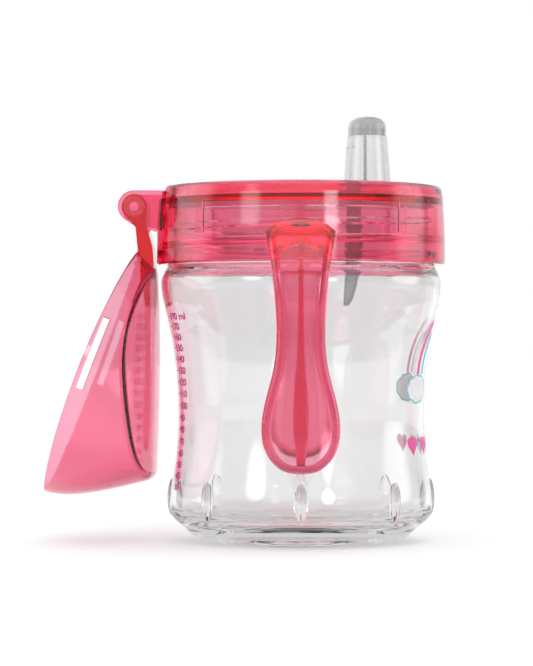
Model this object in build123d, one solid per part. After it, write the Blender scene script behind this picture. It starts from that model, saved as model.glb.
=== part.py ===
from build123d import *
from math import copysign, cos, pi, sin
import os

# Two-handled toddler sippy cup with a soft spout and a flip cap that hangs open.
#
# Millimetres, +Z up, origin on the cup's axis in the plane that it stands on.
# The spout is on +X, the cap's hinge on -X, and the handles stand out along -Y and +Y.
# The cap is drawn closed on the lid and then swung open about its hinge.

# ---- cup ------------------------------------------------------------------
WALL = 1.6  # side wall of the cup
FLOOR_Z = 4.4  # inside of the floor
PUNT_HEIGHT = 1.8  # hollow under the floor
PUNT_TOP_R = 17.5
FOOT_INNER_R = 20.0
FOOT_OUTER_R = 23.5
HEEL_R = 35.4  # widest place above the foot
HEEL_Z = 10.5
WAIST_R = 33.3
WAIST_Z = 35.5
SHOULDER_R = 37.7
SHOULDER_Z = 69.6
NECK_R = 34.4
NECK_BOTTOM_Z = 74.8
RIM_Z = 89.0
MOUTH_R = 32.2
RIM_ROUND = 0.5

BUMP_COUNT = 8
BUMP_Z = 12.0
BUMP_R = 1.9
BUMP_HALF_HEIGHT = 5.4
BUMP_STANDS_OUT = 0.7

# ---- screw thread ---------------------------------------------------------
THREAD_PITCH = 4.2
THREAD_ROOT_WIDTH = 2.2
THREAD_CREST_WIDTH = 0.9
THREAD_SINK = 0.3  # how far a ridge reaches into the wall that carries it
NECK_CREST_R = 35.45
NECK_THREAD_Z = 77.4
NECK_THREAD_TURNS = 2.0
COLLAR_CREST_R = 35.75  # the crests clear each other, so the lid can lift straight off
COLLAR_THREAD_Z = 77.0
COLLAR_THREAD_TURNS = 1.1

# ---- collar ---------------------------------------------------------------
COLLAR_BOTTOM_Z = 74.5
COLLAR_TOP_Z = 95.4
COLLAR_BOTTOM_R = 38.9
COLLAR_UPPER_R = 38.3
COLLAR_UPPER_Z = 92.6
COLLAR_BORE_R = 36.9
COLLAR_TOP_ROUND = 1.2
SKIRT_CHAMFER = 0.5
SKIRT_DRAFT = 0.1  # how much narrower the skirt is at its middle than at its foot
SKIRT_MIDDLE_Z = 84.0
HEM_HEIGHT = 1.2
HEM_BORE_R = 36.2
RECESS_R = 36.3  # the cap's rim drops into this recess
DECK_TOP_Z = 92.0
DECK_BOTTOM_Z = 90.2
RAISED_TOP_Z = 95.6  # the middle of the deck is raised, and carries the spout
RAISED_BOTTOM_Z = 93.8
RAISED_R = 27.6
RAISED_FOOT_R = 31.0
RAISED_UNDER_R = RAISED_R - 0.9  # the hollow under the raised middle, at its top and foot
RAISED_UNDER_FOOT_R = RAISED_FOOT_R - 0.9
AIR_GAP = 0.04  # between pieces that are pushed into or against each other
RIB_COUNT = 8
RIB_WIDTH = 2.4
RIB_INNER_R = 36.1
RIB_BOTTOM_Z = 82.2

SEAL_INNER_R = 31.7
SEAL_OUTER_R = 35.7

# ---- hinge ----------------------------------------------------------------
HINGE_X = -44.4
HINGE_Z = 89.8
CHEEK_INNER_Y = 9.2
CHEEK_OUTER_Y = 12.2
CHEEK_R = 4.25
CHEEK_FOOT_Z = 83.4  # where the slanting underside meets the collar
CHEEK_TOP_Z = HINGE_Z + CHEEK_R
CHEEK_ROOT_X = -36.9  # inside the collar's wall
CHEEK_FOOT_X = -38.0
KNUCKLE_R = 3.4
KNUCKLE_HALF_WIDTH = 8.9
ARM_HALF_WIDTH = 8.4
PIN_R = 1.25
PIN_BORE_R = 1.32
PIN_HEAD_R = 2.8
PIN_HEAD_THICK = 0.9
PIN_END_Y = 11.4
NOTCH_OUTER_X = -50.0  # the notches in the collar for the cap's arm and for its shell
NOTCH_INNER_X = -32.0
NOTCH_TOP_Z = 100.0

# ---- spout ----------------------------------------------------------------
SPOUT_X = 17.9
SPOUT_TOP_Z = 114.1
SPOUT_DOME_Z = 109.2
SPOUT_FOOT_HALF_X = 6.45
SPOUT_FOOT_HALF_Y = 11.1
SPOUT_TIP_HALF_X = 5.4
SPOUT_TIP_HALF_Y = 9.4
DOME_STEP = 0.2  # the dome is this much narrower than the stalk under it
DOME_ROUND = 2.7
SPOUT_WALL = 1.3
DUCT_SPLIT_X = 17.2  # partition between the air duct and the drink duct
DUCT_SPLIT_THICK = 0.8
DUCT_TOP_Z = 109.0
FLANGE_THICK = 1.5
FLANGE_MARGIN = 1.5
LIP_HEIGHT = 1.1
LIP_MARGIN = 0.9
SPOUT_BOTTOM_Z = RAISED_BOTTOM_Z - FLANGE_THICK
SLIT_X = 20.2
SLIT_LENGTH = 5.0
SLIT_WIDTH = 0.35
AIR_HOLE_R = 0.6
AIR_HOLE_Z = 106.5

# ---- vent valve -----------------------------------------------------------
VALVE_X = 14.3
VALVE_R = 2.0
VALVE_WALL = 0.7
VALVE_TOP_Z = 95.0
VALVE_BEND_Z = 76.0
VALVE_TIP_X = 12.1
VALVE_TIP_Z = 63.4
VALVE_BEAD_STANDS = 0.45
VALVE_BEADS = ((84.6, 0.8), (82.4, 0.8), (79.6, 1.5), (77.2, 1.5))  # height, length

# ---- handles --------------------------------------------------------------
PLATE_HALF_WIDTH = 10.95
PLATE_HALF_HEIGHT = 3.9
PLATE_Z = 83.6
PLATE_STANDS = 0.9
HANDLE_SIDE_WALL = 2.2
HANDLE_FRONT_WALL = 2.4
HANDLE_ROUND = 2.5
HANDLE_ROOT_Z = 85.2  # top of the arched root
HANDLE_TIP_Z = 20.6
HANDLE_ARCH_Z = 78.0  # top of the hollow at the back of the handle
HANDLE_ARCH_R = 5.9
HANDLE_HALF_SPAN = 20.0  # wider than half the handle
HANDLE_REACH = 80.0  # further out than the handle

# ---- flip cap -------------------------------------------------------------
CAP_OPEN_DEG = 249.4
CAP_WALL = 1.5
# level ovals that the shell's walls pass through: z, back x, front x, half width, and the
# power that squares the oval off, which is 2 for a plain ellipse
CAP_OVALS = (
    (90.0, -35.9, 35.5, 35.8, 2.0),
    (97.0, -33.0, 35.2, 34.3, 2.05),
    (108.0, -27.0, 30.2, 30.2, 2.6),
    (122.0, -19.0, 20.6, 26.0, 3.0),
)
OVAL_POINTS = 24
CAP_HALF_SPAN = 40.0  # wider than half the cap
CAP_RIM_END_X = 38.0
ABOVE_CAP_Z = 130.0
# the crest's arc, x and z: the open cap has to stay clear of the shoulder as the lid comes off
CREST_LOW = (-30.2, 101.4)
CREST_MIDDLE = (-9.1, 109.8)
CREST_HIGH = (18.6, 119.5)
ROOF_ARCH_R = 70.0  # the roof's curve from side to side
CAP_EDGE_ROUND = 2.6
RIM_BACK_Z = 95.0  # height of the cap's curved rim at the hinge, middle and front
RIM_MIDDLE_X = 2.0
RIM_MIDDLE_Z = 92.7
RIM_FRONT_Z = 93.9
SLOT_X = -4.6
SLOT_LENGTH = 19.4
SLOT_BOTTOM_Z = 93.9
SLOT_HEIGHT = 1.8
# side view of the arm, with its corners measured from the hinge's axis, cap closed
ARM_OUTLINE = (
    (2.6, -2.2),
    (5.0, 2.1),
    (10.3, 4.7),
    (20.1, 9.2),
    (24.0, 11.6),
    (24.0, 14.3),
    (18.9, 12.4),
    (12.6, 10.2),
    (8.3, 8.2),
    (3.0, 4.4),
    (-1.5, 3.05),
)


def xz(x, z):
    """Point in the plane y = 0."""
    return (x, 0, z)


def ring_between(inner_r, outer_r, bottom_z, top_z):
    """Flat ring about the cup's axis."""
    height = top_z - bottom_z
    ring = Cylinder(outer_r, height) - Cylinder(inner_r, height)
    return Pos(0, 0, (bottom_z + top_z) / 2) * ring


def rod_between(x, y, radius, bottom_z, top_z):
    """Upright cylinder."""
    return Pos(x, y, (bottom_z + top_z) / 2) * Cylinder(radius, top_z - bottom_z)


def box_between(low, high):
    """Box with its lowest and highest corners at the given points."""
    size = [b - a for a, b in zip(low, high)]
    middle = [(a + b) / 2 for a, b in zip(low, high)]
    return Pos(*middle) * Box(*size)


def spun(lines):
    """Solid of revolution about the cup's axis from a closed outline."""
    return revolve(make_face(lines), Axis.Z)


def thread_ridge(wall_r, crest_r, start_z, turns):
    """Helical ridge of trapezoid section that stands from wall_r to crest_r."""
    way = 1 if crest_r > wall_r else -1
    root_r = wall_r - way * THREAD_SINK
    helix = Helix(THREAD_PITCH, THREAD_PITCH * turns, root_r)
    half_root = THREAD_ROOT_WIDTH / 2
    half_crest = THREAD_CREST_WIDTH / 2
    section = Polyline(
        xz(root_r, -half_root),
        xz(crest_r, -half_crest),
        xz(crest_r, half_crest),
        xz(root_r, half_root),
        close=True,
    )
    return Pos(0, 0, start_z) * sweep(make_face(section), path=helix, is_frenet=True)


# ---- cup ------------------------------------------------------------------
def cup_side(inset):
    """Side of the cup from the heel up to the shoulder, drawn in by inset."""
    return Spline(
        xz(HEEL_R - inset, HEEL_Z),
        xz(34.5 - inset, 18.6),
        xz(33.7 - inset, 25.5),
        xz(WAIST_R - inset, WAIST_Z),
        xz(33.8 - inset, 45.5),
        xz(35.1 - inset, 55.5),
        xz(36.8 - inset, 63.3),
        xz(SHOULDER_R - inset, SHOULDER_Z),
        tangents=[(0, 0, 1), (0, 0, 1)],
    )


def cup_outer():
    """Outside of the cup as a plain solid, with the hollow under its floor."""
    foot = xz(FOOT_OUTER_R, 0)
    heel = xz(HEEL_R, HEEL_Z)
    neck = xz(NECK_R, NECK_BOTTOM_Z)
    rim = xz(NECK_R, RIM_Z)
    heel_turn = Spline(
        foot, xz(28.3, 1.2), xz(31.7, 4.2), heel, tangents=[(1, 0, 0.08), (0, 0, 1)]
    )
    shoulder_turn = Spline(
        xz(SHOULDER_R, SHOULDER_Z),
        xz(36.8, 72.6),
        neck,
        tangents=[(0, 0, 1), (-1, 0, 0.1)],
    )
    return spun(
        Polyline(
            rim,
            xz(0, RIM_Z),
            xz(0, PUNT_HEIGHT),
            xz(PUNT_TOP_R, PUNT_HEIGHT),
            xz(FOOT_INNER_R, 0),
            foot,
        )
        + heel_turn
        + cup_side(0)
        + shoulder_turn
        + Line(neck, rim)
    )


def cup_inner():
    """Hollow of the cup."""
    floor = xz(21.0, FLOOR_Z)
    neck = xz(MOUTH_R, NECK_BOTTOM_Z)
    above = RIM_Z + 1
    heel_turn = Spline(
        floor,
        xz(29.6, 6.4),
        xz(HEEL_R - WALL, HEEL_Z),
        tangents=[(1, 0, 0), (0, 0, 1)],
    )
    shoulder_turn = Spline(
        xz(SHOULDER_R - WALL, SHOULDER_Z),
        xz(35.0, 72.1),
        neck,
        tangents=[(0, 0, 1), (-0.5, 0, 1)],
    )
    return spun(
        Polyline(neck, xz(MOUTH_R, above), xz(0, above), xz(0, FLOOR_Z), floor)
        + heel_turn
        + cup_side(WALL)
        + shoulder_turn
    )


def grip_bumps():
    """Upright oval bumps round the heel."""
    bump = scale(Sphere(BUMP_R), by=(1, 1, BUMP_HALF_HEIGHT / BUMP_R))
    middle_r = HEEL_R + BUMP_STANDS_OUT - BUMP_R
    step = 360 / BUMP_COUNT
    return [
        Rot(0, 0, i * step) * Pos(middle_r, 0, BUMP_Z) * bump for i in range(BUMP_COUNT)
    ]


def make_cup_body():
    cup = cup_outer() - cup_inner()
    rim = cup.edges().filter_by_position(Axis.Z, RIM_Z - 0.01, RIM_Z + 0.01)
    cup = fillet(rim, RIM_ROUND)
    cup += thread_ridge(NECK_R, NECK_CREST_R, NECK_THREAD_Z, NECK_THREAD_TURNS)
    return cup + grip_bumps()


# ---- collar ---------------------------------------------------------------
def skirt_solid(extra):
    """Outer shape of the collar as a plain solid, grown outwards by extra."""
    upper = xz(COLLAR_UPPER_R + extra, COLLAR_UPPER_Z)
    return spun(
        Polyline(
            xz(0, COLLAR_BOTTOM_Z),
            xz(COLLAR_BOTTOM_R + extra - SKIRT_CHAMFER, COLLAR_BOTTOM_Z),
            xz(COLLAR_BOTTOM_R + extra, COLLAR_BOTTOM_Z + SKIRT_CHAMFER),
            xz(COLLAR_BOTTOM_R + extra - SKIRT_DRAFT, SKIRT_MIDDLE_Z),
            upper,
            xz(COLLAR_UPPER_R + extra - SKIRT_CHAMFER, COLLAR_TOP_Z),
            xz(0, COLLAR_TOP_Z),
            close=True,
        )
    )


def collar_bore():
    """Everything that is hollow inside the collar, under its deck and over it."""
    return [
        rod_between(0, 0, HEM_BORE_R, COLLAR_BOTTOM_Z - 1, COLLAR_BOTTOM_Z + 2),
        rod_between(0, 0, COLLAR_BORE_R, COLLAR_BOTTOM_Z + HEM_HEIGHT, DECK_BOTTOM_Z),
        rod_between(0, 0, RECESS_R, DECK_TOP_Z, COLLAR_TOP_Z + 1),
    ]


def raised_deck():
    """Middle of the deck, which stands up from the rest on a sloping edge."""
    over = spun(
        Polyline(
            xz(0, DECK_BOTTOM_Z),
            xz(RAISED_FOOT_R, DECK_BOTTOM_Z),
            xz(RAISED_FOOT_R, DECK_TOP_Z),
            xz(RAISED_R, RAISED_TOP_Z),
            xz(0, RAISED_TOP_Z),
            close=True,
        )
    )
    under = spun(
        Polyline(
            xz(0, DECK_BOTTOM_Z - 1),
            xz(RAISED_UNDER_FOOT_R, DECK_BOTTOM_Z - 1),
            xz(RAISED_UNDER_FOOT_R, DECK_BOTTOM_Z),
            xz(RAISED_UNDER_R, RAISED_BOTTOM_Z),
            xz(0, RAISED_BOTTOM_Z),
            close=True,
        )
    )
    return over, under


def collar_ribs():
    """Upright stiffening ribs inside the collar, under its deck."""
    rib = box_between(
        (RIB_INNER_R, -RIB_WIDTH / 2, RIB_BOTTOM_Z),
        (COLLAR_BORE_R + 0.4, RIB_WIDTH / 2, DECK_BOTTOM_Z + 0.3),
    )
    step = 360 / RIB_COUNT
    return [Rot(0, 0, i * step) * rib for i in range(RIB_COUNT)]


def hinge_cheeks():
    """The two side plates that carry the hinge pin."""
    end = Pos(HINGE_X, HINGE_Z) * Circle(CHEEK_R)
    root = Polygon(
        (CHEEK_ROOT_X, CHEEK_TOP_Z),
        (CHEEK_ROOT_X, CHEEK_FOOT_Z),
        (CHEEK_FOOT_X, CHEEK_FOOT_Z),
        (CHEEK_FOOT_X, CHEEK_TOP_Z),
        align=None,
    )
    outline = make_hull(end.edges() + root.edges())
    both = extrude(Plane.XZ * outline, CHEEK_OUTER_Y, both=True)
    gap = box_between((-60, -CHEEK_INNER_Y, 70), (-30, CHEEK_INNER_Y, 100))
    return both - gap


def hinge_rod(radius, low_y, high_y):
    """Cylinder on the hinge's axis between two places along Y."""
    rod = Rot(90, 0, 0) * Cylinder(radius, high_y - low_y)
    return Pos(HINGE_X, (low_y + high_y) / 2, HINGE_Z) * rod


def spout_oval(z, half_x, half_y):
    return Pos(SPOUT_X, 0, z) * Ellipse(half_x, half_y)


def make_collar():
    skirt = skirt_solid(0)
    top = skirt.edges().filter_by_position(
        Axis.Z, COLLAR_TOP_Z - 0.01, COLLAR_TOP_Z + 0.01
    )
    collar = fillet(top, COLLAR_TOP_ROUND) + hinge_cheeks()
    collar -= collar_bore()
    over, under = raised_deck()
    collar = collar + over - under
    collar += collar_ribs()
    collar += thread_ridge(
        COLLAR_BORE_R, COLLAR_CREST_R, COLLAR_THREAD_Z, COLLAR_THREAD_TURNS
    )
    arm_notch = box_between(
        (NOTCH_OUTER_X, -CHEEK_INNER_Y, DECK_TOP_Z),
        (NOTCH_INNER_X, CHEEK_INNER_Y, NOTCH_TOP_Z),
    )
    shell_notch = box_between(
        (NOTCH_OUTER_X, -CHEEK_OUTER_Y, CHEEK_TOP_Z),
        (NOTCH_INNER_X, CHEEK_OUTER_Y, NOTCH_TOP_Z),
    )
    pin_hole = hinge_rod(PIN_R + AIR_GAP, -CHEEK_OUTER_Y - 1, PIN_END_Y + AIR_GAP)
    head_seat = hinge_rod(
        PIN_HEAD_R + AIR_GAP, -CHEEK_OUTER_Y - 1, -CHEEK_OUTER_Y + PIN_HEAD_THICK + AIR_GAP
    )
    spout_hole = extrude(
        spout_oval(
            RAISED_BOTTOM_Z - 1, SPOUT_FOOT_HALF_X + AIR_GAP, SPOUT_FOOT_HALF_Y + AIR_GAP
        ),
        RAISED_TOP_Z - RAISED_BOTTOM_Z + 2,
    )
    return collar - arm_notch - shell_notch - pin_hole - head_seat - spout_hole


def make_hinge_pin():
    shaft = hinge_rod(PIN_R, -CHEEK_OUTER_Y + PIN_HEAD_THICK / 2, PIN_END_Y)
    head = hinge_rod(PIN_HEAD_R, -CHEEK_OUTER_Y, -CHEEK_OUTER_Y + PIN_HEAD_THICK)
    return shaft + head


def make_seal_ring():
    return ring_between(
        SEAL_INNER_R, SEAL_OUTER_R, RIM_Z + AIR_GAP, DECK_BOTTOM_Z - AIR_GAP
    )


# ---- spout and valve ------------------------------------------------------
def spout_outer():
    """Outside of the spout: flange under the deck, lip over it, stalk and dome."""
    neck = extrude(
        spout_oval(SPOUT_BOTTOM_Z, SPOUT_FOOT_HALF_X, SPOUT_FOOT_HALF_Y),
        RAISED_TOP_Z + AIR_GAP - SPOUT_BOTTOM_Z,
    )
    flange = extrude(
        spout_oval(
            SPOUT_BOTTOM_Z,
            SPOUT_FOOT_HALF_X + FLANGE_MARGIN,
            SPOUT_FOOT_HALF_Y + FLANGE_MARGIN,
        ),
        FLANGE_THICK - AIR_GAP,
    )
    lip = extrude(
        spout_oval(
            RAISED_TOP_Z + AIR_GAP,
            SPOUT_FOOT_HALF_X + LIP_MARGIN,
            SPOUT_FOOT_HALF_Y + LIP_MARGIN,
        ),
        LIP_HEIGHT,
    )
    stalk = loft(
        [
            spout_oval(RAISED_TOP_Z + AIR_GAP, SPOUT_FOOT_HALF_X, SPOUT_FOOT_HALF_Y),
            spout_oval(SPOUT_DOME_Z, SPOUT_TIP_HALF_X, SPOUT_TIP_HALF_Y),
        ]
    )
    dome = extrude(
        spout_oval(
            SPOUT_DOME_Z - 1,
            SPOUT_TIP_HALF_X - DOME_STEP,
            SPOUT_TIP_HALF_Y - DOME_STEP,
        ),
        SPOUT_TOP_Z - SPOUT_DOME_Z + 1,
    )
    dome = fillet(dome.faces().sort_by(Axis.Z)[-1].edges(), DOME_ROUND)
    return neck + flange + lip + stalk + dome


def spout_ducts():
    """Hollow of the spout, split by a partition into an air duct and a drink duct."""
    hollow = loft(
        [
            spout_oval(
                SPOUT_BOTTOM_Z - 1, SPOUT_FOOT_HALF_X - SPOUT_WALL, SPOUT_FOOT_HALF_Y - SPOUT_WALL
            ),
            spout_oval(
                DUCT_TOP_Z, SPOUT_TIP_HALF_X - SPOUT_WALL, SPOUT_TIP_HALF_Y - SPOUT_WALL
            ),
        ]
    )
    half = DUCT_SPLIT_THICK / 2
    partition = box_between(
        (DUCT_SPLIT_X - half, -20, SPOUT_BOTTOM_Z - 2), (DUCT_SPLIT_X + half, 20, 120)
    )
    return hollow - partition


def make_spout():
    spout = spout_outer() - spout_ducts()
    plug = extrude(
        spout_oval(SPOUT_BOTTOM_Z, SPOUT_FOOT_HALF_X - 0.5, SPOUT_FOOT_HALF_Y - 0.5), 4
    )
    air_side = box_between((0, -20, 80), (DUCT_SPLIT_X, 20, 100))
    spout += plug & air_side
    spout -= rod_between(
        VALVE_X, 0, VALVE_R + AIR_GAP, SPOUT_BOTTOM_Z - 1, VALVE_TOP_Z + AIR_GAP
    )
    spout -= rod_between(VALVE_X, 0, VALVE_R - VALVE_WALL, VALVE_TOP_Z - 1, VALVE_TOP_Z + 3)
    slit = box_between(
        (SLIT_X - SLIT_WIDTH / 2, -SLIT_LENGTH / 2, DUCT_TOP_Z - 1),
        (SLIT_X + SLIT_WIDTH / 2, SLIT_LENGTH / 2, SPOUT_TOP_Z + 1),
    )
    air_hole = Pos(SPOUT_X - 5, 0, AIR_HOLE_Z) * Rot(0, 90, 0) * Cylinder(AIR_HOLE_R, 4)
    return spout - slit - air_hole


def valve_claw(inset, tip_z):
    """Side view of the valve below its bend, curving in on one side to its tip."""
    left = VALVE_X - VALVE_R + inset
    right = VALVE_X + VALVE_R - inset
    tip_left = VALVE_TIP_X - 0.7 + inset / 2
    tip_right = VALVE_TIP_X + 0.7 - inset / 2
    curve = Spline(
        xz(right, VALVE_BEND_Z),
        xz(right - 1.1, 70.0),
        xz(tip_right, tip_z),
        tangents=[(0, 0, -1), (-0.75, 0, -1)],
    )
    rest = Polyline(
        xz(tip_right, tip_z),
        xz(tip_left, tip_z),
        xz(left, VALVE_BEND_Z),
        xz(right, VALVE_BEND_Z),
    )
    return make_face(curve + rest)


def make_vent_valve():
    stem = rod_between(VALVE_X, 0, VALVE_R, VALVE_BEND_Z, VALVE_TOP_Z)
    claw = extrude(valve_claw(0, VALVE_TIP_Z), VALVE_R, both=True)
    claw &= rod_between(VALVE_X - 0.9, 0, VALVE_R + 0.9, VALVE_TIP_Z - 1, VALVE_BEND_Z)
    valve = stem + claw
    for height, length in VALVE_BEADS:
        valve += rod_between(
            VALVE_X, 0, VALVE_R + VALVE_BEAD_STANDS, height - length / 2, height + length / 2
        )
    bore = rod_between(VALVE_X, 0, VALVE_R - VALVE_WALL, VALVE_BEND_Z, VALVE_TOP_Z + 1)
    duct = extrude(valve_claw(VALVE_WALL, VALVE_TIP_Z + 1.2), 1.2, both=True)
    return valve - bore - duct


# ---- handles --------------------------------------------------------------
def handle_edge(inset):
    """Right edge of the handle seen from the front, from its root to its tip."""
    return Spline(
        (8.8 - inset, 81.6),
        (7.8 - inset, 75.5),
        (6.5 - inset, 64.0),
        (6.1 - inset, 55.5),
        (6.9 - inset, 47.0),
        (9.1 - inset, 38.0),
        (9.9 - inset, 31.5),
        (8.3 - inset, 25.0),
        (4.6 - inset / 2, 21.4 + inset * 0.7),
        (0, HANDLE_TIP_Z + inset),
        tangents=[(-0.1, -1), (-1, 0)],
    )


def handle_front(inset):
    """Front outline of the handle, drawn through its whole depth on the +Y side."""
    right = handle_edge(inset)
    left = mirror(right, Plane.YZ)
    top = ThreePointArc(right @ 0, (0, HANDLE_ROOT_Z - inset), left @ 0)
    outline = make_face(right + left + top)
    return extrude(Plane.XZ * outline, HANDLE_REACH, dir=(0, 1, 0))


def handle_outer_line(shift):
    """Outer line of the handle seen from the side, brought towards the cup by shift."""
    return Spline(
        (30.0, 86.4 - shift),
        (41.0, 86.2 - shift),
        (50.5 - shift * 0.6, 82.8 - shift * 0.8),
        (55.8 - shift, 75.6),
        (57.6 - shift, 62.0),
        (57.4 - shift, 44.0),
        (56.6 - shift, 30.0),
        (55.2 - shift, 18.0),
        tangents=[(1, 0), (-0.15, -1)],
    )


def handle_strip(front_shift, back_shift):
    """Side view of the handle's strip, with either line brought towards the cup."""
    outer = handle_outer_line(front_shift)
    inner = Spline(
        (30.0, 79.6 - back_shift),
        (42.0, 79.4 - back_shift),
        (47.0 - back_shift * 0.6, 76.6 - back_shift * 0.8),
        (49.3 - back_shift, 70.5),
        (50.0 - back_shift, 60.0),
        (50.0 - back_shift, 44.0),
        (49.6 - back_shift, 30.0),
        (49.0 - back_shift, 18.0),
        tangents=[(1, 0), (-0.1, -1)],
    )
    outline = make_face(
        outer + inner + Line(outer @ 0, inner @ 0) + Line(outer @ 1, inner @ 1)
    )
    return extrude(Plane.YZ * outline, HANDLE_HALF_SPAN, both=True)


def handle_hollow():
    """Hollow that is open towards the cup, with an arched top."""
    front_wall = handle_outer_line(HANDLE_FRONT_WALL)
    behind_wall = make_face(
        front_wall + Polyline(front_wall @ 0, (30, 18), front_wall @ 1)
    )
    arch_r = HANDLE_ARCH_R
    arch = Pos(0, HANDLE_ARCH_Z - arch_r) * Circle(arch_r)
    below_arch = arch + Pos(0, HANDLE_ARCH_Z - arch_r - 40) * Rectangle(30, 80)
    return (
        handle_front(HANDLE_SIDE_WALL)
        & extrude(Plane.YZ * behind_wall, HANDLE_HALF_SPAN, both=True)
        & extrude(Plane.XZ * below_arch, HANDLE_REACH, dir=(0, 1, 0))
    )


def handle_rib():
    """Leaf-shaped rib that stiffens the middle of the handle's hollow."""
    right = Spline(
        (0.55, 79.0), (0.7, 60.0), (1.1, 48.0), (2.0, 36.0), (1.4, 26.0), (0.6, 20.0)
    )
    left = mirror(right, Plane.YZ)
    outline = make_face(
        right + left + Line(right @ 0, left @ 0) + Line(right @ 1, left @ 1)
    )
    rib = extrude(Plane.XZ * outline, HANDLE_REACH, dir=(0, 1, 0))
    return rib & handle_strip(1.0, -1.8) & handle_front(1.0)


def make_handle():
    """The handle on the +Y side, with the oval plate that it stands on."""
    strip = handle_front(0) & handle_strip(0, 0)
    outer_edges = [e for e in strip.edges() if e.length > 30 and (e @ 0.5).Y > 53]
    strip = fillet(outer_edges, HANDLE_ROUND)
    plate = extrude(
        Plane.XZ * Pos(0, PLATE_Z) * Ellipse(PLATE_HALF_WIDTH, PLATE_HALF_HEIGHT),
        HANDLE_REACH,
        dir=(0, 1, 0),
    )
    plate &= skirt_solid(PLATE_STANDS)
    return (strip - handle_hollow()) + handle_rib() + plate - skirt_solid(AIR_GAP)


# ---- flip cap -------------------------------------------------------------
def squared_oval(half_x, half_y, power):
    """Closed smooth outline between an ellipse and a rectangle."""
    points = []
    for i in range(OVAL_POINTS):
        turn = 2 * pi * i / OVAL_POINTS
        along = copysign(abs(cos(turn)) ** (2 / power), cos(turn))
        across = copysign(abs(sin(turn)) ** (2 / power), sin(turn))
        points.append((half_x * along, half_y * across))
    return make_face(Spline(*points, periodic=True))


def cap_walls(inset):
    """Leaning walls of the shell as a plain solid, lofted through level ovals."""
    ovals = [
        Pos((front + back) / 2, 0, z)
        * squared_oval((front - back) / 2 - inset, half_y - inset, power)
        for z, back, front, half_y, power in CAP_OVALS
    ]
    return loft(ovals)


def cap_roof(inset):
    """Arched body whose crest runs up from the hinge to the front of the shell."""
    crest = ThreePointArc(xz(*CREST_LOW), xz(*CREST_MIDDLE), xz(*CREST_HIGH))
    crest_r = crest.radius - inset
    arch_r = ROOF_ARCH_R - inset
    arch = Pos(0, crest_r - arch_r) * Circle(arch_r)
    kept = Pos(0, crest_r - 30) * Rectangle(200, 80)
    section_plane = Plane(origin=crest.arc_center, x_dir=(0, 1, 0), z_dir=(1, 0, 0))
    return revolve(section_plane * (arch & kept), Axis(crest.arc_center, (0, 1, 0)), 360)


def cap_body(inset):
    """Walls cut off by the roof, with the edge between them rounded."""
    body = cap_walls(inset) & cap_roof(inset)
    edge = [e for e in body.edges() if (e @ 0.5).Z > CAP_OVALS[0][0] + 3]
    return fillet(edge, CAP_EDGE_ROUND - inset)


def side_sheet(outline, half_width):
    """Plate with the given outline in x and z, centred on y = 0."""
    return extrude(Plane.XZ * outline, half_width, both=True)


def above_rim():
    """Block whose underside is the curve of the cap's rim."""
    rim = ThreePointArc(
        (-CAP_RIM_END_X, RIM_BACK_Z), (RIM_MIDDLE_X, RIM_MIDDLE_Z), (CAP_RIM_END_X, RIM_FRONT_Z)
    )
    sides = Polyline(
        rim @ 1, (CAP_RIM_END_X, ABOVE_CAP_Z), (-CAP_RIM_END_X, ABOVE_CAP_Z), rim @ 0
    )
    return side_sheet(make_face(rim + sides), CAP_HALF_SPAN)


def cap_arm():
    """Arm between the hinge and the shell, which thickens the roof where it joins."""
    outline = Polygon(*ARM_OUTLINE, align=None)
    return side_sheet(Pos(HINGE_X, HINGE_Z) * outline, ARM_HALF_WIDTH)


def make_flip_cap():
    cap = (cap_body(0) - cap_body(CAP_WALL)) & above_rim()
    cap -= box_between(
        (SLOT_X - SLOT_LENGTH / 2, -CAP_HALF_SPAN, SLOT_BOTTOM_Z),
        (SLOT_X + SLOT_LENGTH / 2, CAP_HALF_SPAN, SLOT_BOTTOM_Z + SLOT_HEIGHT),
    )
    cap += cap_arm() + hinge_rod(KNUCKLE_R, -KNUCKLE_HALF_WIDTH, KNUCKLE_HALF_WIDTH)
    cap -= hinge_rod(PIN_BORE_R, -KNUCKLE_HALF_WIDTH - 1, KNUCKLE_HALF_WIDTH + 1)
    return cap.rotate(Axis((HINGE_X, 0, HINGE_Z), (0, 1, 0)), -CAP_OPEN_DEG)


def write_part(shape, name):
    print(name, "solids", len(shape.solids()), "valid", shape.is_valid)
    export_step(shape, f"parts/{name}.step")


if __name__ == "__main__":
    os.makedirs("parts", exist_ok=True)
    handle = make_handle()
    write_part(make_cup_body(), "cup_body")
    write_part(make_collar(), "collar")
    write_part(make_hinge_pin(), "hinge_pin")
    write_part(make_seal_ring(), "seal_ring")
    write_part(make_spout(), "spout")
    write_part(make_vent_valve(), "vent_valve")
    write_part(handle, "handle_right")
    write_part(mirror(handle, Plane.XZ), "handle_left")
    write_part(make_flip_cap(), "flip_cap")
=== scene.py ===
import math

import bmesh
import bpy
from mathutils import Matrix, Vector
from mathutils.bvhtree import BVHTree


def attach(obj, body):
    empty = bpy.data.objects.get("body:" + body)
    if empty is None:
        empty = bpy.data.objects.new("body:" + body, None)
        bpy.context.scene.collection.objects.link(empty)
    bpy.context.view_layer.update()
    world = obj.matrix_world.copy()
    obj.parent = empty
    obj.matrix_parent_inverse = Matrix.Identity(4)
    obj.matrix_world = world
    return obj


# ---- camera ---------------------------------------------------------------
CAMERA_DISTANCE = 0.729
CAMERA_HEIGHT = 0.053
CAMERA_YAW_DEG = 0.73
CAMERA_PITCH_DEG = 0.25
LENS_MM = 145.9
SENSOR_MM = 36.0

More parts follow.
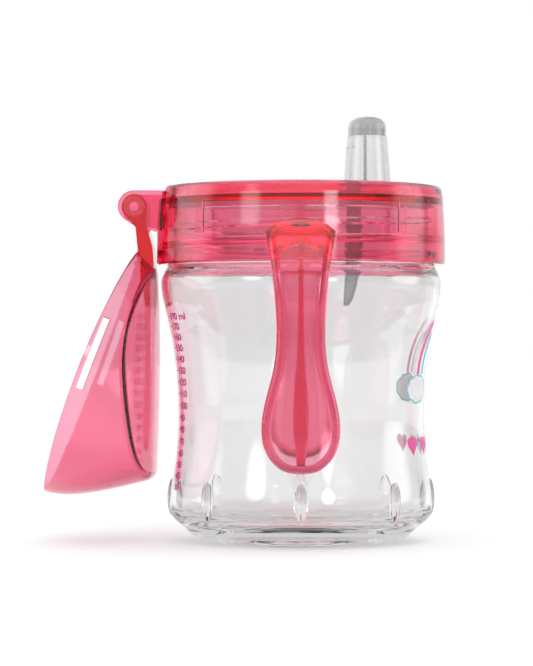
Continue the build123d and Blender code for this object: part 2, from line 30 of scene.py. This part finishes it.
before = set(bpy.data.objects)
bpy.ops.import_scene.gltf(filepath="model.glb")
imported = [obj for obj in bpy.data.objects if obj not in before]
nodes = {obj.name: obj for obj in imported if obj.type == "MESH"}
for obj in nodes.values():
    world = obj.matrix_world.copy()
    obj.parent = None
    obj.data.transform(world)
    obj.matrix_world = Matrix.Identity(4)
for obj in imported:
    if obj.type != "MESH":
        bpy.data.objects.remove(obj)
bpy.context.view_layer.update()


# ---- node helpers ---------------------------------------------------------
NOISE_LOW = 0.3  # nearly all of a noise texture's values lie between these
NOISE_HIGH = 0.7


def new_material(name):
    """Material with an empty node tree apart from a Principled shader and the output."""
    material = bpy.data.materials.new(name)
    material.use_nodes = True
    tree = material.node_tree
    tree.nodes.clear()
    output = tree.nodes.new("ShaderNodeOutputMaterial")
    shader = tree.nodes.new("ShaderNodeBsdfPrincipled")
    tree.links.new(shader.outputs["BSDF"], output.inputs["Surface"])
    return material, tree, shader, output


def noise(tree, scale, detail):
    """Noise value over the object's own coordinates, in metres."""
    place = tree.nodes.new("ShaderNodeTexCoord")
    texture = tree.nodes.new("ShaderNodeTexNoise")
    texture.inputs["Scale"].default_value = scale
    texture.inputs["Detail"].default_value = detail
    tree.links.new(place.outputs["Object"], texture.inputs["Vector"])
    return texture.outputs["Fac"]


def ramp(tree, value, low, high):
    """Colours between low and high along a noise value."""
    node = tree.nodes.new("ShaderNodeValToRGB")
    node.color_ramp.elements[0].position = NOISE_LOW
    node.color_ramp.elements[1].position = NOISE_HIGH
    node.color_ramp.elements[0].color = (*low, 1)
    node.color_ramp.elements[1].color = (*high, 1)
    tree.links.new(value, node.inputs["Fac"])
    return node.outputs["Color"]


def spread(tree, value, low, high):
    """Number between low and high along a noise value."""
    node = tree.nodes.new("ShaderNodeMapRange")
    node.inputs["From Min"].default_value = NOISE_LOW
    node.inputs["From Max"].default_value = NOISE_HIGH
    node.inputs["To Min"].default_value = low
    node.inputs["To Max"].default_value = high
    tree.links.new(value, node.inputs["Value"])
    return node.outputs["Result"]


def bump(tree, shader, value, distance, strength):
    node = tree.nodes.new("ShaderNodeBump")
    node.inputs["Strength"].default_value = strength
    node.inputs["Distance"].default_value = distance
    tree.links.new(value, node.inputs["Height"])
    tree.links.new(node.outputs["Normal"], shader.inputs["Normal"])


TINT_SCALE = 45  # noise scales, over metres
GRAIN_SCALE = 900
WAVE_SCALE = 160
WAVE_HEIGHT = 0.00002


def clear_plastic(name, pale, deep, rough, ior, absorb, density):
    """See-through moulding: tinted at its surface and deeper in colour where it is thicker."""
    material, tree, shader, output = new_material(name)
    tint = noise(tree, TINT_SCALE, 2)
    grain = noise(tree, GRAIN_SCALE, 3)
    tree.links.new(ramp(tree, tint, deep, pale), shader.inputs["Base Color"])
    tree.links.new(spread(tree, grain, rough[0], rough[1]), shader.inputs["Roughness"])
    shader.inputs["IOR"].default_value = ior
    shader.inputs["Transmission Weight"].default_value = 1.0
    bump(tree, shader, noise(tree, WAVE_SCALE, 2), WAVE_HEIGHT, 0.25)
    volume = tree.nodes.new("ShaderNodeVolumeAbsorption")
    volume.inputs["Color"].default_value = (*absorb, 1)
    volume.inputs["Density"].default_value = density
    tree.links.new(volume.outputs["Volume"], output.inputs["Volume"])
    return material


INK_SCATTER = 0.0004  # metres that light spreads in the ink, so that its back is not dark
INK_TINT_SCALE = 700
INK_GRAIN_SCALE = 1500
INK_WAVE_SCALE = 2500
INK_WAVE_HEIGHT = 0.00001


def ink(name, colour, darker):
    """Printed ink: thin, slightly uneven, and lets a little light through."""
    material, tree, shader, output = new_material(name)
    tint = noise(tree, INK_TINT_SCALE, 3)
    grain = noise(tree, INK_GRAIN_SCALE, 2)
    tree.links.new(ramp(tree, tint, darker, colour), shader.inputs["Base Color"])
    tree.links.new(spread(tree, grain, 0.32, 0.5), shader.inputs["Roughness"])
    bump(tree, shader, noise(tree, INK_WAVE_SCALE, 2), INK_WAVE_HEIGHT, 0.3)
    shader.inputs["Subsurface Weight"].default_value = 0.8
    shader.inputs["Subsurface Radius"].default_value = (1, 1, 1)
    shader.inputs["Subsurface Scale"].default_value = INK_SCATTER
    return material


def dress(names, material):
    for name in names:
        slots = nodes[name].data.materials
        if not slots:
            slots.append(material)
        for i in range(len(slots)):
            slots[i] = material


PINK_ROUGH = (0.03, 0.07)
PINK_IOR = 1.49
SILICONE_IOR = 1.41
SPOUT_IOR = 1.43
PINK_PALE = (0.995, 0.82, 0.855)
PINK_DEEP = (0.98, 0.765, 0.81)
CAP_PALE = (0.93, 0.76, 0.80)
CAP_DEEP = (0.89, 0.69, 0.74)
PINK_ABSORB = (0.965, 0.10, 0.40)
GREY_ABSORB = (0.30, 0.31, 0.31)

dress(["collar"], clear_plastic(
    "pink_lid_plastic", PINK_PALE, PINK_DEEP, PINK_ROUGH, PINK_IOR, PINK_ABSORB, 430))
dress(["hinge_pin"], clear_plastic(
    "pink_pin_plastic", PINK_PALE, PINK_DEEP, PINK_ROUGH, PINK_IOR, PINK_ABSORB, 60))
dress(["handle_right", "handle_left"], clear_plastic(
    "pink_handle_plastic", PINK_PALE, PINK_DEEP, PINK_ROUGH, PINK_IOR, PINK_ABSORB, 330))
dress(["flip_cap"], clear_plastic(
    "pink_cap_plastic", CAP_PALE, CAP_DEEP, PINK_ROUGH, PINK_IOR, PINK_ABSORB, 460))
dress(["cup_body"], clear_plastic(
    "clear_cup_plastic", (0.88, 0.88, 0.88), (0.845, 0.845, 0.845), (0.015, 0.045), 1.50,
    GREY_ABSORB, 3))
dress(["seal_ring"], clear_plastic(
    "soft_seal_silicone", (0.93, 0.93, 0.93), (0.9, 0.9, 0.9), (0.25, 0.4), SILICONE_IOR,
    GREY_ABSORB, 60))
dress(["spout"], clear_plastic(
    "soft_spout_silicone", (0.97, 0.97, 0.97), (0.94, 0.94, 0.94), (0.05, 0.1), SPOUT_IOR,
    GREY_ABSORB, 75))
dress(["vent_valve"], clear_plastic(
    "soft_valve_silicone", (0.80, 0.80, 0.80), (0.74, 0.74, 0.74), (0.08, 0.15), SILICONE_IOR,
    GREY_ABSORB, 330))


# ---- print on the cup ------------------------------------------------------
MM = 0.001
INK_UNDER = 0.012 * MM  # the print's back face lies this far over the cup's surface
INK_THICK = 0.05 * MM
PRINT_STEP = 1.0  # widest piece of print before it is bent round the cup, in millimetres

OUTSIDE_CUP = 0.06  # metres from the axis

FIRST_MARK_Z = 15.3
FIRST_MARK_ML = 30
LAST_MARK_ML = 180
MARK_STEP_ML = 10
CUP_WALL = 1.6
SCALE_AZIMUTH = 199.0  # degrees from +X, so beside the cap and a little to the front
FIGURE_HEIGHT = 1.75
FIGURE_STRETCH = 1.55
FIGURE_SHARE = 0.69  # height of a figure in the font's size
FIGURE_BOLDER = 0.035  # how far its outline is moved out, in its height
FIGURE_OFF_DEG = 3.5  # the figures start this far before SCALE_AZIMUTH
TICK_OFF_DEG = 5.5  # and the middle of each tick lies this far before it
TICK_WIDTH = 1.2
TICK_HEIGHT = 0.3

cup_tree = BVHTree.FromPolygons(
    [v.co[:] for v in nodes["cup_body"].data.vertices],
    [list(f.vertices) for f in nodes["cup_body"].data.polygons])


def cup_radius(azimuth, z):
    """Outer radius of the cup at an angle about its axis, in radians, and a height, in metres."""
    out = Vector((math.cos(azimuth), math.sin(azimuth), 0))
    hit = cup_tree.ray_cast(out * OUTSIDE_CUP + Vector((0, 0, z)), -out)
    return Vector((hit[0].x, hit[0].y)).length


def outline_curve(loops):
    """Flat filled curve through closed loops of points, in millimetres.

    A loop inside another is a hole."""
    data = bpy.data.curves.new("outline", "CURVE")
    data.dimensions = "2D"
    data.fill_mode = "BOTH"
    for loop in loops:
        spline = data.splines.new("POLY")
        spline.points.add(len(loop) - 1)
        for point, (x, y) in zip(spline.points, loop):
            point.co = (x, y, 0, 1)
        spline.use_cyclic_u = True
    return data


def text_curve(text, height):
    """Flat filled curve of a number that starts at x = 0, in millimetres."""
    data = bpy.data.curves.new("figures", "FONT")
    data.body = text
    data.size = height / FIGURE_SHARE
    data.offset = FIGURE_BOLDER * height
    data.align_x = "LEFT"
    return data


def flat_mesh(data):
    """Closed thin mesh of a flat curve, one unit thick."""
    data.extrude = 0.5
    holder = bpy.data.objects.new("holder", data)
    bpy.context.scene.collection.objects.link(holder)
    bpy.context.view_layer.update()
    graph = bpy.context.evaluated_depsgraph_get()
    mesh = bpy.data.meshes.new_from_object(holder.evaluated_get(graph))
    bpy.data.objects.remove(holder)
    return mesh


def cut_up(made, axis, step):
    """Cuts a mesh at even steps along an axis."""
    places = [v.co[axis] for v in made.verts]
    normal = [0, 0, 0]
    normal[axis] = 1
    place = math.floor(min(places) / step) * step + step
    while place < max(places):
        point = [0, 0, 0]
        point[axis] = place
        bmesh.ops.bisect_plane(
            made, geom=made.verts[:] + made.edges[:] + made.faces[:], dist=1e-5,
            plane_co=point, plane_no=normal)
        place += step


def print_on_cup(name, items, material):
    """One piece of print, bent round the cup.

    Items are (flat curve, azimuth in degrees, height, x scale, x shift), in millimetres."""
    joined = bmesh.new()
    for data, azimuth, height, stretch, shift in items:
        made = bmesh.new()
        made.from_mesh(flat_mesh(data))
        bmesh.ops.remove_doubles(made, verts=made.verts, dist=1e-4)
        for v in made.verts:
            v.co.x = v.co.x * stretch + shift
        cut_up(made, 0, PRINT_STEP)
        cut_up(made, 1, 2 * PRINT_STEP)
        middle = math.radians(azimuth)
        middle_r = cup_radius(middle, height * MM)
        for v in made.verts:
            angle = middle + v.co.x * MM / middle_r
            z = (height + v.co.y) * MM
            r = cup_radius(angle, z) + INK_UNDER + (v.co.z + 0.5) * INK_THICK
            v.co = (math.cos(angle) * r, math.sin(angle) * r, z)
        mesh = bpy.data.meshes.new("part")
        made.to_mesh(mesh)
        made.free()
        joined.from_mesh(mesh)
        bpy.data.meshes.remove(mesh)
    bmesh.ops.recalc_face_normals(joined, faces=joined.faces)
    mesh = bpy.data.meshes.new(name)
    joined.to_mesh(mesh)
    joined.free()
    mesh.materials.append(material)
    piece = bpy.data.objects.new(name, mesh)
    bpy.context.scene.collection.objects.link(piece)
    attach(piece, "cup")


def rectangle(width, height):
    x, y = width / 2, height / 2
    return [(-x, -y), (x, -y), (x, y), (-x, y)]


def scale_marks():
    """(millilitres, height in millimetres) of each mark, from the volume of the cup itself."""
    azimuth = math.radians(SCALE_AZIMUTH)
    marks = [(FIRST_MARK_ML, FIRST_MARK_Z)]
    z, volume, step = FIRST_MARK_Z, 0.0, 0.05
    for ml in range(FIRST_MARK_ML + MARK_STEP_ML, LAST_MARK_ML + 1, MARK_STEP_ML):
        while volume < (ml - FIRST_MARK_ML) * 1000:
            inner = cup_radius(azimuth, z * MM) / MM - CUP_WALL
            volume += math.pi * inner * inner * step
            z += step
        marks.append((ml, z))
    return marks


def scale_print(material):
    figures, ticks = [], []
    for ml, z in scale_marks():
        text = f"{ml} ml" if ml == LAST_MARK_ML else str(ml)
        figures.append((text_curve(text, FIGURE_HEIGHT), SCALE_AZIMUTH - FIGURE_OFF_DEG,
                        z - FIGURE_HEIGHT / 2, FIGURE_STRETCH, 0))
        ticks.append((outline_curve([rectangle(TICK_WIDTH, TICK_HEIGHT)]),
                      SCALE_AZIMUTH - TICK_OFF_DEG, z, 1, 0))
    print_on_cup("scale_figures", figures, material)
    print_on_cup("scale_ticks", ticks, material)


# the picture, in millimetres
ARCH_Z = 45.2
ARCH_OUTER_R = 14.6
ARCH_OUTER_WIDTH = 1.7
ARCH_INNER_R = 11.4
ARCH_INNER_WIDTH = 1.5
ARC_STEPS = 60
CLOUD_Z = 41.3
CLOUD_OFF = 13.4  # from the picture's middle
CLOUD_WIDTH = 13.0
CLOUD_FLAT = 0.62  # height over width
CLOUD_RIM = 0.5
CLOUD_PUFFS = 9
CLOUD_STEPS = 180
PUFF_LOW = 0.62
PUFF_HEIGHT = 1.0
MOTIF_Z = 26.5
MOTIF_STEP = 8.4
HEART_COUNT = 5
HEART_WIDTH = 5.6
HEART_STEPS = 64
DOT_R = 0.8
DOT_STEPS = 40


def arc_band(outer_r, width):
    """Loop round a half ring that stands on its two ends."""
    turns = [math.radians(180 * i / ARC_STEPS) for i in range(ARC_STEPS + 1)]
    outer = [(math.cos(t) * outer_r, math.sin(t) * outer_r) for t in turns]
    inner_r = outer_r - width
    inner = [(math.cos(t) * inner_r, math.sin(t) * inner_r) for t in reversed(turns)]
    return outer + inner


def cloud_loop(width, grow):
    """Outline of a plain cloud: bumps round an oval, grown outwards, or inwards if negative."""
    half_x = width / 2 - PUFF_HEIGHT
    half_y = width / 2 * CLOUD_FLAT - PUFF_HEIGHT
    loop = []
    for i in range(CLOUD_STEPS):
        t = 2 * math.pi * i / CLOUD_STEPS
        puff = PUFF_LOW + (PUFF_HEIGHT - PUFF_LOW) * abs(math.sin(CLOUD_PUFFS * t / 2)) + grow
        loop.append(((half_x + puff) * math.cos(t), (half_y + puff) * math.sin(t)))
    return loop


def heart_loop(size):
    """Outline of a heart, from the usual sum of cosines, which is 32 wide before it is scaled."""
    loop = []
    for i in range(HEART_STEPS):
        t = 2 * math.pi * i / HEART_STEPS
        x = 16 * math.sin(t) ** 3
        y = 13 * math.cos(t) - 5 * math.cos(2 * t) - 2 * math.cos(3 * t) - math.cos(4 * t)
        loop.append((x * size / 32, y * size / 32))
    return loop


def ring_loop(radius):
    turns = [2 * math.pi * i / DOT_STEPS for i in range(DOT_STEPS)]
    return [(math.cos(t) * radius, math.sin(t) * radius) for t in turns]


def picture_print(magenta, teal, white):
    """Arch between two clouds on the spout's side, over a row of hearts and dots."""
    outer = outline_curve([arc_band(ARCH_OUTER_R, ARCH_OUTER_WIDTH)])
    inner = outline_curve([arc_band(ARCH_INNER_R, ARCH_INNER_WIDTH)])
    print_on_cup("arch_outer", [(outer, 0, ARCH_Z, 1, 0)], magenta)
    print_on_cup("arch_inner", [(inner, 0, ARCH_Z, 1, 0)], teal)
    edge = cloud_loop(CLOUD_WIDTH, 0)
    inside = cloud_loop(CLOUD_WIDTH, -CLOUD_RIM)
    fills, rims = [], []
    for shift in (-CLOUD_OFF, CLOUD_OFF):
        fills.append((outline_curve([inside]), 0, CLOUD_Z, 1, shift))
        rims.append((outline_curve([edge, inside]), 0, CLOUD_Z, 1, shift))
    print_on_cup("cloud_fills", fills, white)
    print_on_cup("cloud_rims", rims, teal)
    heart, dot = heart_loop(HEART_WIDTH), ring_loop(DOT_R)
    hearts = [(outline_curve([heart]), 0, MOTIF_Z, 1, (i - (HEART_COUNT - 1) / 2) * MOTIF_STEP)
              for i in range(HEART_COUNT)]
    dots = [(outline_curve([dot]), 0, MOTIF_Z, 1, (i - (HEART_COUNT - 2) / 2) * MOTIF_STEP)
            for i in range(HEART_COUNT - 1)]
    print_on_cup("hearts", hearts, magenta)
    print_on_cup("dots", dots, teal)


scale_print(ink("scale_ink", (0.60, 0.012, 0.21), (0.52, 0.009, 0.18)))
picture_print(
    ink("magenta_ink", (0.80, 0.035, 0.26), (0.72, 0.028, 0.22)),
    ink("teal_ink", (0.10, 0.55, 0.60), (0.08, 0.48, 0.53)),
    ink("white_ink", (0.86, 0.86, 0.87), (0.78, 0.78, 0.8)))


# ---- stage, lights and camera ----------------------------------------------
FLOOR_HALF = 6.0  # metres
FLOOR_GLOW = 0.45  # the floor gives some light itself, so that the cup's foot isn't dark


def make_floor():
    mesh = bpy.data.meshes.new("floor")
    made = bmesh.new()
    bmesh.ops.create_grid(made, x_segments=8, y_segments=8, size=FLOOR_HALF)
    made.to_mesh(mesh)
    made.free()
    floor = bpy.data.objects.new("floor", mesh)
    bpy.context.scene.collection.objects.link(floor)
    material, tree, shader, output = new_material("floor_paper")
    tree.links.new(
        ramp(tree, noise(tree, 3, 2), (0.41, 0.41, 0.41), (0.44, 0.44, 0.44)),
        shader.inputs["Base Color"])
    shader.inputs["Roughness"].default_value = 0.9
    shader.inputs["Emission Color"].default_value = (1, 1, 1, 1)
    shader.inputs["Emission Strength"].default_value = FLOOR_GLOW
    mesh.materials.append(material)


# soft lamps: azimuth from the camera's side, elevation, half width where the lamp starts to
# fade, half width where it has faded out, all in degrees, and brightness
SOFT_LIGHTS = (
    (-41, 14, 6, 11, 3.6),
    (24, 8, 3, 7, 7.0),
    (-98, 14, 12, 26, 1.8),
    (98, 12, 10, 22, 2.0),
    (8, 52, 16, 34, 1.1),
)
ROOM_BACK = 0.98  # brightness of the room before and behind the cup
ROOM_SIDE = 0.50
ROOM_TOP = 1.45
SIDE_FADE = (0.45, 0.95)  # where the room darkens, along the sideways part of a direction
TOP_FADE = (0.3, 0.9)  # and where it brightens, along the upward part


def smooth_step(tree, value, low, high, top):
    """Number that goes smoothly from 0 at low to top at high."""
    node = tree.nodes.new("ShaderNodeMapRange")
    node.interpolation_type = "SMOOTHSTEP"
    node.inputs["From Min"].default_value = low
    node.inputs["From Max"].default_value = high
    node.inputs["To Min"].default_value = 0.0
    node.inputs["To Max"].default_value = top
    tree.links.new(value, node.inputs["Value"])
    return node.outputs["Result"]


def maths(tree, operation, *values):
    """Result of an arithmetic node, whose values are numbers or sockets."""
    node = tree.nodes.new("ShaderNodeMath")
    node.operation = operation
    for socket, value in zip(node.inputs, values):
        if isinstance(value, (int, float)):
            socket.default_value = value
        else:
            tree.links.new(value, socket)
    return node.outputs["Value"]


def studio_world():
    """White backdrop for the camera, and for light a pale room with soft lamps."""
    world = bpy.data.worlds.new("studio")
    bpy.context.scene.world = world
    world.use_nodes = True
    tree = world.node_tree
    tree.nodes.clear()
    place = tree.nodes.new("ShaderNodeTexCoord").outputs["Generated"]
    split = tree.nodes.new("ShaderNodeSeparateXYZ")
    tree.links.new(place, split.inputs["Vector"])
    sideways = maths(tree, "ABSOLUTE", split.outputs["X"])
    darker = smooth_step(tree, sideways, *SIDE_FADE, ROOM_BACK - ROOM_SIDE)
    brighter = smooth_step(tree, split.outputs["Z"], *TOP_FADE, ROOM_TOP - ROOM_BACK)
    total = maths(tree, "ADD", maths(tree, "SUBTRACT", ROOM_BACK, darker), brighter)
    for azimuth, elevation, inner, outer, power in SOFT_LIGHTS:
        a, e = math.radians(azimuth), math.radians(elevation)
        towards = tree.nodes.new("ShaderNodeVectorMath")
        towards.operation = "DOT_PRODUCT"
        tree.links.new(place, towards.inputs[0])
        towards.inputs[1].default_value = (
            math.sin(a) * math.cos(e), -math.cos(a) * math.cos(e), math.sin(e))
        lamp = smooth_step(
            tree, towards.outputs["Value"], math.cos(math.radians(outer)),
            math.cos(math.radians(inner)), power)
        total = maths(tree, "ADD", total, lamp)
    room = tree.nodes.new("ShaderNodeBackground")
    tree.links.new(total, room.inputs["Strength"])
    white = tree.nodes.new("ShaderNodeBackground")
    ray = tree.nodes.new("ShaderNodeLightPath")
    choose = tree.nodes.new("ShaderNodeMixShader")
    output = tree.nodes.new("ShaderNodeOutputWorld")
    for background in (room, white):
        background.inputs["Color"].default_value = (1, 1, 1, 1)
    tree.links.new(ray.outputs["Is Camera Ray"], choose.inputs["Fac"])
    tree.links.new(room.outputs["Background"], choose.inputs[1])
    tree.links.new(white.outputs["Background"], choose.inputs[2])
    tree.links.new(choose.outputs["Shader"], output.inputs["Surface"])


def make_camera():
    data = bpy.data.cameras.new("camera")
    data.sensor_width = SENSOR_MM
    data.lens = LENS_MM
    data.clip_start = 0.01
    data.clip_end = 50
    camera = bpy.data.objects.new("camera", data)
    camera.location = (0, -CAMERA_DISTANCE, CAMERA_HEIGHT)
    camera.rotation_euler = (
        math.radians(90 + CAMERA_PITCH_DEG), 0, math.radians(CAMERA_YAW_DEG))
    bpy.context.scene.collection.objects.link(camera)
    bpy.context.scene.camera = camera


make_floor()
studio_world()
make_camera()
scene = bpy.context.scene
scene.view_settings.view_transform = "Standard"
scene.cycles.max_bounces = 40
scene.cycles.transmission_bounces = 40
scene.cycles.glossy_bounces = 12
scene.cycles.transparent_max_bounces = 24
